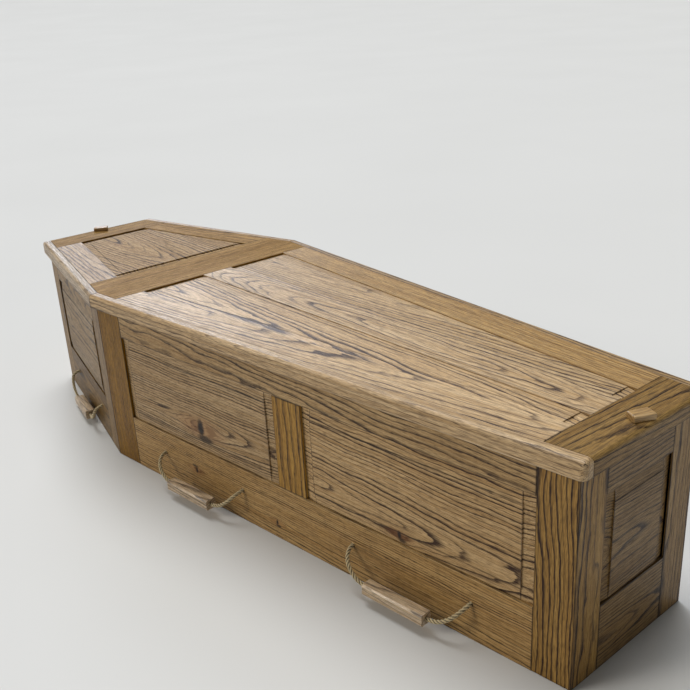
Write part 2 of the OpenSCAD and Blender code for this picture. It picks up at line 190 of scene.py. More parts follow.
def growth_rings():
    """Rings round the tree's heart: each is sharp on one side and fades on the other."""
    net, given, result = new_group(
        "growth rings",
        "ShaderNodeTree",
        [
            ("Board", "vector", None),
            ("Heart", "float", 0.03),
            ("Lean", "float", 0.05),
            ("Bow", "float", 0.0),
            ("Side", "float", 0.0),
            ("Ring", "float", 0.007),
            ("Wander", "float", 0.008),
            ("Seed", "float", 0.0),
        ],
        [("Band", "float"), ("Ring tone", "float")],
    )
    u, v, w = net.parts(given["Board"])
    seed = given["Seed"]
    drift = net.noise(stretched(net, given["Board"], 3.1, 8.0, seed), detail=2.0)
    red, green, _ = net.add("ShaderNodeSeparateColor", {0: drift["Color"]}).outputs
    ripple = net.noise(stretched(net, given["Board"], 13.0, 60.0, seed), detail=3.0)
    sway = net.math("MULTIPLY", net.math("SUBTRACT", red, 0.5), given["Wander"])
    heave = net.math("MULTIPLY", net.math("SUBTRACT", green, 0.5), given["Wander"])
    across = net.math(
        "MULTIPLY_ADD", sway, WANDER_REACH, net.math("SUBTRACT", v, given["Side"])
    )
    lean = net.math("MULTIPLY_ADD", u, given["Lean"], given["Heart"])
    bow = net.math("MULTIPLY", net.math("MULTIPLY", u, u), given["Bow"])
    below = net.math("ADD", net.math("ADD", lean, bow), w)
    depth = net.math("MULTIPLY_ADD", heave, WANDER_REACH, below)
    radius = net.math(
        "SQRT",
        net.math(
            "ADD",
            net.math("MULTIPLY", across, across),
            net.math("MULTIPLY", depth, depth),
        ),
    )
    count = net.math("DIVIDE", radius, given["Ring"])
    phase = net.math("MULTIPLY_ADD", ripple[0], RING_RAGGED, count)
    number = net.math("FLOOR", phase)
    share = net.math("FRACT", phase)
    chance = net.add(
        "ShaderNodeTexWhiteNoise",
        {"W": net.math("ADD", number, seed)},
        noise_dimensions="1D",
    ).outputs["Value"]
    rise = net.spread(share, 0.0, RING_RISE)
    reach = net.spread(chance, 0.0, 1.0, RING_THIN, RING_WIDE)
    fall = net.spread(net.math("DIVIDE", share, reach), RING_FULL, 1.0, 1.0, 0.0)
    band = net.math("MULTIPLY", rise, net.math("POWER", fall, 1.1))
    net.feed(result["Band"], band)
    net.feed(result["Ring tone"], chance)
    return net.tree


def open_pores():
    """Short dark pores along the grain, with paler streaks and broad clouds."""
    net, given, result = new_group(
        "open pores",
        "ShaderNodeTree",
        [("Board", "vector", None), ("Seed", "float", 0.0)],
        [("Pores", "float"), ("Streaks", "float"), ("Clouds", "float")],
    )
    board, seed = given["Board"], given["Seed"]
    coarse = net.noise(stretched(net, board, 26.0, 620.0, seed), detail=1.0)[0]
    fine = net.noise(stretched(net, board, 70.0, 1500.0, seed))[0]
    pores = net.math(
        "MAXIMUM", net.spread(coarse, 0.50, 0.64), net.spread(fine, 0.53, 0.68)
    )
    streaks = net.noise(stretched(net, board, 2.4, 150.0, seed), detail=4.0)[0]
    clouds = net.noise(stretched(net, board, 2.0, 9.0, seed), detail=2.0)[0]
    net.feed(result["Pores"], pores)
    net.feed(result["Streaks"], net.spread(streaks, 0.3, 0.72))
    net.feed(result["Clouds"], net.spread(clouds, 0.3, 0.7))
    return net.tree


KNOT_LONG = 0.11
KNOT_REACH = 0.16
KNOT_PUSH = 1.5


def branch_knot():
    """The grain parts round a knot, which has a dark heart, a smear and a red halo."""
    net, given, result = new_group(
        "branch knot",
        "ShaderNodeTree",
        [
            ("Board", "vector", None),
            ("Along", "float", 0.0),
            ("Up", "float", 0.0),
            ("Size", "float", 0.01),
        ],
        [("Board", "vector"), ("Core", "float"), ("Halo", "float")],
    )
    u, v, w = net.parts(given["Board"])
    du = net.math("DIVIDE", net.math("SUBTRACT", u, given["Along"]), given["Size"])
    dv = net.math("DIVIDE", net.math("SUBTRACT", v, given["Up"]), given["Size"])
    far = net.math(
        "ADD",
        net.math("MULTIPLY", net.math("MULTIPLY", du, du), KNOT_LONG),
        net.math("MULTIPLY", dv, dv),
    )
    near = net.math("EXPONENT", net.math("MULTIPLY", far, -KNOT_REACH))
    side = net.spread(dv, -1.2, 1.2, -1.0, 1.0)
    push = net.math("MULTIPLY", net.math("MULTIPLY", near, side), given["Size"])
    moved = net.join(u, net.math("MULTIPLY_ADD", push, -KNOT_PUSH, v), w)
    rough = net.noise(stretched(net, given["Board"], 150.0, 150.0, 0.0), detail=3.0)[0]

    def blot(middle_u, middle_v, wide, tall):
        """A ragged patch, placed and sized in shares of the knot's size."""
        x = net.math("DIVIDE", net.math("SUBTRACT", du, middle_u), wide)
        y = net.math("DIVIDE", net.math("SUBTRACT", dv, middle_v), tall)
        size = net.math("ADD", net.math("MULTIPLY", x, x), net.math("MULTIPLY", y, y))
        return net.spread(net.math("MULTIPLY_ADD", rough, 1.2, size), 0.9, 2.0, 1.0, 0.0)

    spot = blot(0.0, 0.0, 0.9, 1.8)
    smear = net.math("MULTIPLY", blot(1.0, -2.0, 2.2, 0.8), 0.85)
    net.feed(result["Board"], moved)
    net.feed(result["Core"], net.math("MAXIMUM", spot, smear))
    net.feed(result["Halo"], net.spread(far, 0.5, 7.0, 0.75, 0.0))
    return net.tree


SEAM_FADE = 1.6
PALEST_JOINT = 0.35
LEAST_RUBBED_AND_HIGHLIT = 0.3


def worn_and_shaded_edges():
    """How dark a joint is with old finish and painted shade, and how rubbed an open edge
    is, with a painted highlight.
    """
    net, given, result = new_group(
        "worn and shaded edges",
        "ShaderNodeTree",
        [("Place", "vector", None), ("Seam", "float", 0.0), ("Edge", "float", 0.0)],
        [("Joint grime and shade", "float"), ("Rubbed and highlit", "float")],
    )
    patches = net.noise(given["Place"], scale=22.0, detail=3.0)[0]
    seam = net.math("POWER", given["Seam"], SEAM_FADE)
    dark = net.spread(patches, 0.25, 0.6, PALEST_JOINT, 1.0)
    joint = net.math("MULTIPLY", seam, dark)
    open_edge = net.spread(given["Seam"], 0.2, 0.6, 1.0, 0.0)
    rubbed = net.math(
        "MULTIPLY",
        net.math("MULTIPLY", net.spread(given["Edge"], 0.30, 0.80), open_edge),
        net.spread(patches, 0.30, 0.65, LEAST_RUBBED_AND_HIGHLIT, 1.0),
    )
    net.feed(result["Joint grime and shade"], joint)
    net.feed(result["Rubbed and highlit"], rubbed)
    return net.tree


RINGS, PORES, KNOT, EDGES = growth_rings(), open_pores(), branch_knot(), worn_and_shaded_edges()

LIGHT = (0.73, 0.490, 0.225, 1)
WARM = (0.45, 0.255, 0.085, 1)
DARK = (0.034, 0.011, 0.003, 1)
HALO = (0.22, 0.085, 0.025, 1)
BARK_AND_JOINT_SHADE = (0.016, 0.008, 0.004, 1)

CLOUD_SHARE, CLOUD_TONE = 0.35, 0.82
FAINTEST_RING = 0.45
RING_STAIN, PORE_STAIN = 0.75, 0.45
PORE_SHADE = 0.50
HALO_SHARE = 0.6
# A rubbed edge's colour is paler and cooler: wear, with a painted highlight.
BARE_AND_HIGHLIT_TONE, BARE_AND_HIGHLIT_WARMTH = 1.5, -0.4
PORE_DEPTH, RING_DEPTH = 0.7, 0.5
PORE_DULL, CLOUD_DULL = 0.14, 0.08
GRAIN_RELIEF = 0.6 * MM


def toned(colour, tone, warmth):
    """A colour made lighter by tone, and redder by warmth."""
    r, g, b, a = colour
    return (r * tone * (1 + warmth * 0.3), g * tone, b * tone * (1 - warmth), a)


def new_material(name):
    """An empty material, its net and its shader."""
    material = bpy.data.materials.new(name)
    material.use_nodes = True
    net = Net(material.node_tree)
    shader = material.node_tree.nodes["Principled BSDF"]
    return material, net, shader


def grain_place(net, place, turn, middle, skew):
    """The board's own coordinates, with its grain some degrees off its direction."""
    run = turn @ Matrix.Rotation(radians(skew), 3, "Z")
    return net.add(
        "ShaderNodeMapping",
        {"Vector": place, "Location": middle, "Rotation": run.to_euler()},
        vector_type="TEXTURE",
    ).outputs[0]


def knotted(net, board, knots):
    """The board's coordinates parted round its knots, and what each knot marks."""
    marks = []
    for along, up, size in knots:
        feeds = {"Board": board, "Along": along, "Up": up, "Size": size}
        marks.append(net.group(KNOT, feeds))
        board = marks[-1]["Board"]
    return board, marks


def ringed_wood(net, rings, pores, tone, warmth, contrast):
    """The colour of bare oak, and how dark its rings are."""
    light, warm, dark = (toned(colour, tone, warmth) for colour in (LIGHT, WARM, DARK))
    clouded = toned(WARM, tone * CLOUD_TONE, warmth)
    cloud = net.math("MULTIPLY", pores["Clouds"], CLOUD_SHARE)
    pale = net.mix(cloud, net.mix(pores["Streaks"], light, warm), clouded)
    strength = net.spread(rings["Ring tone"], 0.0, 1.0, FAINTEST_RING, 1.0)
    strength = net.math("MULTIPLY", strength, contrast)
    ring = net.math("MULTIPLY", rings["Band"], strength)
    vessels = net.math("MULTIPLY_ADD", pores["Pores"], PORE_STAIN, RING_STAIN)
    stain = net.math("MULTIPLY", ring, vessels, clamp=True)
    fleck = net.math("MULTIPLY", pores["Pores"], PORE_SHADE)
    return net.mix(fleck, net.mix(stain, pale, dark), dark), stain


def oak_surface(net, shader, pores, stain, gloss, shine):
    """Pores and rings that sink into the finish and dull it, under a thin coat."""
    sunk = net.math(
        "ADD",
        net.math("MULTIPLY", pores["Pores"], PORE_DEPTH),
        net.math("MULTIPLY", stain, RING_DEPTH),
    )
    feeds = {
        "Height": net.math("SUBTRACT", 1.0, sunk),
        "Strength": 0.35,
        "Distance": GRAIN_RELIEF,
    }
    dull = net.math("MULTIPLY_ADD", pores["Pores"], PORE_DULL, gloss - CLOUD_DULL / 2)
    rough = net.math("MULTIPLY_ADD", pores["Clouds"], CLOUD_DULL, dull)
    net.feed(shader.inputs["Normal"], net.add("ShaderNodeBump", feeds).outputs[0])
    net.feed(shader.inputs["Roughness"], rough)
    shader.inputs["Specular IOR Level"].default_value = shine
    shader.inputs["Coat Weight"].default_value = shine / 3
    shader.inputs["Coat Roughness"].default_value = 0.28


def oak(name, turn, middle, tone=1.0, warmth=0.0, contrast=1.0, gloss=0.40,
        joint=0.95, rubbed=0.2, shine=0.22, knots=(), skew=0.0, seed=0.0, **figure):
    """Oak of one board. turn has the board's own directions as its columns."""
    material, net, shader = new_material(name)
    place = net.add("ShaderNodeTexCoord").outputs["Object"]
    board, marks = knotted(net, grain_place(net, place, turn, middle, skew), knots)
    rings = net.group(RINGS, {"Board": board, "Seed": seed, **figure})
    pores = net.group(PORES, {"Board": board, "Seed": seed})
    colour, stain = ringed_wood(net, rings, pores, tone, warmth, contrast)
    for mark in marks:
        share = net.math("MULTIPLY", mark["Halo"], HALO_SHARE)
        colour = net.mix(mark["Core"], net.mix(share, colour, HALO), BARK_AND_JOINT_SHADE)
    edges = net.group(
        EDGES,
        {"Place": place, "Seam": net.attribute("seam"), "Edge": net.attribute("edge")},
    )
    bare_and_highlit = toned(LIGHT, tone * BARE_AND_HIGHLIT_TONE, warmth + BARE_AND_HIGHLIT_WARMTH)
    # Joints darken with grime and with painted shade.
    colour = net.mix(net.math("MULTIPLY", edges["Joint grime and shade"], joint), colour, BARK_AND_JOINT_SHADE)
    # Open edges lighten with wear and with a painted highlight.
    colour = net.mix(net.math("MULTIPLY", edges["Rubbed and highlit"], rubbed), colour, bare_and_highlit)
    net.feed(shader.inputs["Base Color"], colour)
    oak_surface(net, shader, pores, stain, gloss, shine)
    return material


# ---- Ropes -------------------------------------------------------------------
# Each route is half of a rope in its handle's own directions, in millimetres:
# along the wall from the handle's middle, inward, and up. A knot's place behind the
# wall is in millimetres too.

ROPE_D = 9 * MM
LAY_LENGTH = 27 * MM
STRANDS = 3
ROPE_STEP = 2.4 * MM
KNOT_INWARD = 34
LONG_ROUTE = [
    (148, 28, 80), (148, 20, 80), (148, -4, 80), (143, -21, 74),
    (129, -35, 59), (106, -41, 43), (80, -42, 36),
]
SHORT_ROUTE_HEAD = [
    (-148, 28, 80), (-148, 20, 80), (-148, -4, 80), (-148, -19, 72),
    (-139, -25, 50), (-116, -26, 28), (-82, -24, 18),
]
SHORT_ROUTE_FOOT = [
    (148, 28, 80), (148, 20, 80), (148, -4, 80), (147, -18, 73),
    (136, -25, 55), (112, -26, 36), (82, -24, 30),
]
WALL_SPAN = {"short": ("head", "shoulder"), "long": ("shoulder", "foot")}


def points_of(node):
    return [Vector(v.co) for v in NODES[node].data.vertices]


def case_corner(name, side):
    """A corner of the case in plan, on its outer faces."""
    sign = 1 if side == "far" else -1
    if name == "shoulder":
        found = points_of(f"long_shoulder_stile_{side}")
        return max(found, key=lambda p: sign * p.y).to_2d()
    found = points_of(f"{name}_corner_{side}")
    reach = {"head": -1, "foot": 1}[name]
    end = max(p.x * reach for p in found)
    found = [p for p in found if p.x * reach > end - MM]
    return max(found, key=lambda p: sign * p.y).to_2d()


def wall_frame(wall, side):
    """Where a side wall starts in plan, and its directions along and inward."""
    start, end = (case_corner(name, side) for name in WALL_SPAN[wall])
    along = (end - start).normalized()
    inward = Vector((-along.y, along.x)) * (1 if side == "near" else -1)
    return start, along, inward


def box_middle(node):
    low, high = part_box(node)
    return (Vector(low) + Vector(high)) / 2


def handle_placer(wall, side, panel):
    """A function that places a handle's point, in millimetres, in the whole frame."""
    start, along, inward = wall_frame(wall, side)
    middle = box_middle(f"{panel}_{side}").to_2d()
    middle = start + along * (middle - start).dot(along)

    def place(point):
        x, y, z = point
        flat = middle + along * (x * MM) + inward * (y * MM)
        return Vector((flat.x, flat.y, z * MM))

    return place


CURVE_STEPS = 40


def smooth(points, step):
    """Points every step along a curve that passes evenly through all the given ones."""
    dense = []
    ends = [points[0] * 2 - points[1], *points, points[-1] * 2 - points[-2]]
    for before, here, after, beyond in zip(ends, ends[1:], ends[2:], ends[3:]):
        knots = [0.0]
        for one, other in ((before, here), (here, after), (after, beyond)):
            knots.append(knots[-1] + (other - one).length ** 0.5)
        t0, t1, t2, t3 = knots
        pull = (here - before) / (t1 - t0) - (after - before) / (t2 - t0)
        out = (pull + (after - here) / (t2 - t1)) * (t2 - t1)
        pull = (after - here) / (t2 - t1) - (beyond - here) / (t3 - t1)
        into = (pull + (beyond - after) / (t3 - t2)) * (t2 - t1)
        for i in range(CURVE_STEPS):
            t = i / CURVE_STEPS
            a, b = t * t * (3 - 2 * t), t * (1 - t) * (1 - t)
            c = t * t * (t - 1)
            dense.append(here * (1 - a) + after * a + out * b + into * c)
    dense.append(points[-1])
    total = sum((b - a).length for a, b in zip(dense, dense[1:]))
    count = round(total / step)
    result, walked, wanted = [dense[0]], 0.0, total / count
    for a, b in zip(dense, dense[1:]):
        run = (b - a).length
        while wanted <= walked + run + 1e-9 and len(result) < count:
            result.append(a.lerp(b, (wanted - walked) / run))
            wanted = len(result) * total / count
        walked += run
    result.append(dense[-1])
    return result


def marked_points(net, geometry, name, value):
    """The same points, which carry a value under this name."""
    return net.add(
        "GeometryNodeStoreNamedAttribute",
        {"Geometry": geometry, "Name": name, "Value": value},
        data_type="FLOAT",
        domain="POINT",
    ).outputs[0]


def strands_outline(net, given):
    """The outline of the strands side by side, as lobes of one closed curve."""
    count = net.math("MULTIPLY", given["Strands"], given["Points per strand"])
    feeds = {"Resolution": count, "Radius": 1.0}
    ring = net.add("GeometryNodeCurvePrimitiveCircle", feeds).outputs[0]
    share = net.add("GeometryNodeSplineParameter").outputs["Factor"]
    lobe = net.math("FRACT", net.math("MULTIPLY", share, given["Strands"]))
    swing = net.math(
        "MULTIPLY",
        net.math("SUBTRACT", lobe, 0.5),
        net.math("DIVIDE", 2 * pi, given["Strands"]),
    )
    radius = net.math(
        "MULTIPLY", net.math("COSINE", swing), net.math("DIVIDE", given["Diameter"], 2)
    )
    spot = net.add("GeometryNodeInputPosition").outputs[0]
    scaled = net.add(
        "ShaderNodeVectorMath", {0: spot, "Scale": radius}, operation="SCALE"
    ).outputs[0]
    ring = marked_points(net, ring, "round strand", lobe)
    feeds = {"Geometry": ring, "Position": scaled}
    return net.add("GeometryNodeSetPosition", feeds).outputs[0]


def laid_rope_tree():
    """Sweeps three round strands, twisted together, along the curve it is given."""
    net, given, result = new_group(
        "laid rope",
        "GeometryNodeTree",
        [
            ("Geometry", "geometry", None),
            ("Diameter", "float", ROPE_D),
            ("Lay length", "float", LAY_LENGTH),
            ("Strands", "int", STRANDS),
            ("Points per strand", "int", 8),
            ("Rope", "material", None),
        ],
        [("Geometry", "geometry")],
    )
    walked = net.add("GeometryNodeSplineParameter").outputs["Length"]
    tilt = net.math("DIVIDE", net.math("MULTIPLY", walked, 2 * pi), given["Lay length"])
    feeds = {"Curve": given["Geometry"], "Tilt": tilt}
    route = net.add("GeometryNodeSetCurveTilt", feeds).outputs[0]
    route = marked_points(net, route, "walked", walked)
    outline = strands_outline(net, given)
    mesh = net.add(
        "GeometryNodeCurveToMesh",
        {"Curve": route, "Profile Curve": outline, "Fill Caps": True},
    ).outputs[0]
    mesh = net.add(
        "GeometryNodeSetShadeSmooth", {"Geometry": mesh, "Shade Smooth": True}
    ).outputs[0]
    mesh = net.add("GeometryNodeRealizeInstances", {"Geometry": mesh}).outputs[0]
    mesh = net.add(
        "GeometryNodeSetMaterial", {"Geometry": mesh, "Material": given["Rope"]}
    ).outputs[0]
    net.feed(result["Geometry"], mesh)
    return net.tree


ROPE_TREE = laid_rope_tree()


STRAW_DARK = (0.38, 0.275, 0.125, 1)
STRAW_PALE = (0.78, 0.660, 0.390, 1)
STRAW_STAIN = (0.42, 0.300, 0.14, 1)
ROPE_GROOVE_SHADE = (0.040, 0.022, 0.009, 1)
THREADS_PER_METRE = 260.0
THREADS_ROUND_STRAND = 5.0
THREAD_RELIEF = 0.5 * MM


def rope_material():
    """Pale straw-coloured fibre: fine threads wind along each strand, with painted shade
    in the grooves between strands.
    """
    material, net, shader = new_material("straw coloured fibre rope")
    walked, around = net.attribute("walked"), net.attribute("round strand")
    place = net.add("ShaderNodeTexCoord").outputs["Object"]
    slant = net.math(
        "MULTIPLY_ADD",
        walked,
        THREADS_PER_METRE,
        net.math("MULTIPLY", around, THREADS_ROUND_STRAND),
    )
    wave = net.math("SINE", net.math("MULTIPLY", slant, 2 * pi))
    thread = net.math("MULTIPLY_ADD", wave, 0.5, 0.5)
    fuzz = net.noise(place, scale=1400.0, detail=2.0)[0]
    stain = net.noise(place, scale=55.0, detail=3.0)[0]
    groove_shade = net.math("ABSOLUTE", net.math("SUBTRACT", around, 0.5))
    shade = net.math("MULTIPLY_ADD", thread, 0.5, net.math("MULTIPLY", fuzz, 0.5))
    colour = net.mix(shade, STRAW_DARK, STRAW_PALE)
    colour = net.mix(net.spread(stain, 0.42, 0.75, 0.0, 0.5), colour, STRAW_STAIN)
    # Painted shade darkens the grooves where the strands meet.
    colour = net.mix(net.spread(groove_shade, 0.22, 0.42), colour, ROPE_GROOVE_SHADE)
    feeds = {
        "Height": net.math("ADD", thread, net.math("MULTIPLY", fuzz, 0.6)),
        "Strength": 0.6,
        "Distance": THREAD_RELIEF,
    }
    net.feed(shader.inputs["Base Color"], colour)
    net.feed(shader.inputs["Roughness"], net.spread(fuzz, 0.3, 0.7, 0.62, 0.9))
    net.feed(shader.inputs["Normal"], net.add("ShaderNodeBump", feeds).outputs[0])
    shader.inputs["Sheen Weight"].default_value = 0.25
    return material


ROPE_FIBRE = rope_material()


def swept_rope(name, line, closed=False):
    """A plain mesh of laid rope along a line of ring centres."""
    data = bpy.data.curves.new(name + " route", "CURVE")
    data.dimensions = "3D"
    spline = data.splines.new("POLY")
    spline.points.add(len(line) - 1)
    for spot, place in zip(spline.points, line):
        spot.co = (*place, 1)
    spline.use_cyclic_u = closed
    holder = bpy.data.objects.new(name + " route", data)
    bpy.context.scene.collection.objects.link(holder)
    twist = holder.modifiers.new("laid rope", "NODES")
    twist.node_group = ROPE_TREE
    for item in ROPE_TREE.interface.items_tree:
        if item.in_out == "INPUT" and item.name == "Rope":
            twist[item.identifier] = ROPE_FIBRE
    looked = bpy.context.evaluated_depsgraph_get()
    looked.update()
    mesh = bpy.data.meshes.new_from_object(holder.evaluated_get(looked))
    holder.modifiers.remove(twist)
    bpy.data.objects.remove(holder)
    bpy.data.curves.remove(data)
    mesh.name = name
    piece = bpy.data.objects.new(name, mesh)
    bpy.context.scene.collection.objects.link(piece)
    return piece


KNOT_POINTS = 110
KNOT_R = 4.092 * MM
KNOT_DEPTH = 4.95 * MM


def overhand_knot(name, place, along, inward):
    """A stopper knot, drawn up tight behind the wall."""
    line = []
    for i in range(KNOT_POINTS):
        t = 2 * pi * i / KNOT_POINTS
        a = (sin(t) + 2 * sin(2 * t)) * KNOT_R
        b = (cos(t) - 2 * cos(2 * t)) * KNOT_R
        c = -sin(3 * t) * KNOT_DEPTH
        line.append(place + along * a + Vector((0, 0, b)) + inward * c)
    return swept_rope(name, line, closed=True)


HANDLES = {
    "short": ("short", "short_panel"),
    "shoulder": ("long", "long_shoulder_panel"),
    "foot": ("long", "long_foot_panel"),
}


def mirrored(points):
    return [(-x, y, z) for x, y, z in points]


def make_rope(handle, side):
    """One handle's rope, through the wall and its grip, with a knot at each end."""
    wall, panel = HANDLES[handle]
    place = handle_placer(wall, side, panel)
    if wall == "short":
        route = SHORT_ROUTE_HEAD + SHORT_ROUTE_FOOT[::-1]
    else:
        route = mirrored(LONG_ROUTE) + LONG_ROUTE[::-1]
    line = smooth([place(p) for p in route], ROPE_STEP)
    rope = swept_rope(f"{handle}_laid_rope_{side}", line)
    _, along, inward = wall_frame(wall, side)
    for label, (x, y, z) in (("head", route[0]), ("foot", route[-1])):
        knot = overhand_knot(
            f"{handle}_{label}_knot_{side}",
            place((x, KNOT_INWARD, z)),
            along.to_3d(),
            inward.to_3d(),
        )
        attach(knot, "root")
    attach(rope, "root")
    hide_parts(f"{handle}_rope_{side}")
    long = sum((b - a).length for a, b in zip(line, line[1:]))
    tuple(place((route[0][0], 0, route[0][2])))


for side in ("near", "far"):
    for handle in HANDLES:
        make_rope(handle, side)

# ---- Boards ------------------------------------------------------------------

UP = Vector((0, 0, 1))
X, Y = Vector((1, 0, 0)), Vector((0, 1, 0))


def directions(along, out):
    """A board's own directions as columns: along the grain, across, out of its face."""
    return Matrix((along, out.cross(along), out)).transposed()


def board_directions(node):
    """Which way a board's grain runs, and which way its face looks."""
    side = "far" if node.endswith("_far") else "near"
    if node.startswith("lid_"):
        if "short_edge" in node or "head_stile" in node:
            return directions(wall_frame("short", side)[1].to_3d(), UP)
        if "long_edge" in node or "leg_stile" in node:
            return directions(wall_frame("long", side)[1].to_3d(), UP)
        return directions(Y if "rail" in node else X, UP)
    if node == "bottom_board":
        return directions(X, UP)
    if "corner" in node:
        inward = wall_frame("short" if "head" in node else "long", side)[2]
        return directions(UP, -inward.to_3d())
    wall = node.split("_")[0]
    if wall in ("head", "foot"):
        return directions(Y, X if wall == "foot" else -X)
    _, along, inward = wall_frame(wall, side)
    upright = "stile" in node or "muntin" in node
    return directions(UP if upright else along.to_3d(), -inward.to_3d())


EASE = 0.8 * MM
RIM = 3.0 * MM
SIDE_JOINT = 0.12
SHARP = radians(30)
SMOOTHED = radians(24)
NARROWEST_CORNER, WIDEST_CORNER = radians(25), radians(177.6)
END_GRAIN = 0.35
SAME_POINT = 0.03 * MM
FINISH_SLACK = 0.02 * MM


def outgrown(board, node):
    """Whether a rounded board has a point outside the space of its node."""
    low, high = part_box(node)
    return any(
        p < a - FINISH_SLACK or p > b + FINISH_SLACK
        for vert in board.verts
        for p, a, b in zip(vert.co, low, high)
    )


def roomy(face, rim):
    """Whether a face is wide enough for a rim all round it."""
    return 2 * face.calc_area() / face.calc_perimeter() > 2.5 * rim


def square_cornered(face, rim):
    """Whether a face has no short side and no sharp corner that would run away."""
    return all(
        loop.edge.calc_length() > 3 * rim
        and NARROWEST_CORNER < loop.calc_angle() < WIDEST_CORNER
        for loop in face.loops
    )


def eased_mesh(node, ease, rim, segments, together):
    """A board's mesh with its sharp edges eased: also those faces, and the rims.

    Faces that meet are given one rim together, or only the clean ones get their own.
    """
    board = bmesh.new()
    board.from_mesh(NODES[node].data)
    bmesh.ops.remove_doubles(board, verts=board.verts, dist=SAME_POINT)
    bmesh.ops.dissolve_limit(
        board, angle_limit=radians(1), verts=board.verts, edges=board.edges
    )
    sharp = [e for e in board.edges if e.calc_face_angle(0) > SHARP]
    made = bmesh.ops.bevel(
        board, geom=sharp, offset=ease, segments=segments, profile=0.5,
        affect="EDGES", clamp_overlap=True,
    )
    eased = set(made["faces"])
    flat = [f for f in board.faces if f not in eased and roomy(f, rim)]
    if together:
        made = bmesh.ops.inset_region(
            board, faces=flat, thickness=rim, use_even_offset=True
        )
    else:
        flat = [f for f in flat if square_cornered(f, rim)]
        made = bmesh.ops.inset_individual(
            board, faces=flat, thickness=rim, use_even_offset=True
        )
    return board, eased, set(made["faces"])


def eased_board(node, turn, ease=EASE, rim=RIM, segments=1):
    """A board with its sharp edges eased, and how near each point is to an edge.

    Joints get grime and painted shade across the board's ends, and hardly any along its
    sides.
    """
    board, eased, rims = eased_mesh(node, ease, rim, segments, together=True)
    if outgrown(board, node):
        board.free()
        board, eased, rims = eased_mesh(node, ease, rim, segments, together=False)
    # seam carries the joints' grime and painted shade, edge the edges' wear and painted
    # highlight.
    seam = board.loops.layers.float.new("seam")
    edge = board.loops.layers.float.new("edge")
    grain = turn.col[0]
    for vert in board.verts:
        worn = [f for f in vert.link_faces if f in eased]
        if not worn:
            continue
        at_end = any(abs(f.normal.dot(grain)) > END_GRAIN for f in worn)
        for loop in vert.link_loops:
            if loop.face in eased or loop.face in rims:
                loop[edge] = 1.0
                loop[seam] = 1.0 if at_end else SIDE_JOINT
    for face in board.faces:
        face.smooth = True
    for side in board.edges:
        side.smooth = side.calc_face_angle(0) < SMOOTHED
    mesh = bpy.data.meshes.new(node + "_eased")
    board.to_mesh(mesh)
    board.free()
    piece = bpy.data.objects.new(node + "_eased", mesh)
    bpy.context.scene.collection.objects.link(piece)
    return piece


def stand_in(piece, node, material):
    """The piece takes the place of its CAD node, in its own material."""
    piece.data.materials.clear()
    piece.data.materials.append(material)
    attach(piece, "root")
    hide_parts(node)


LID_SHINE = 0.32

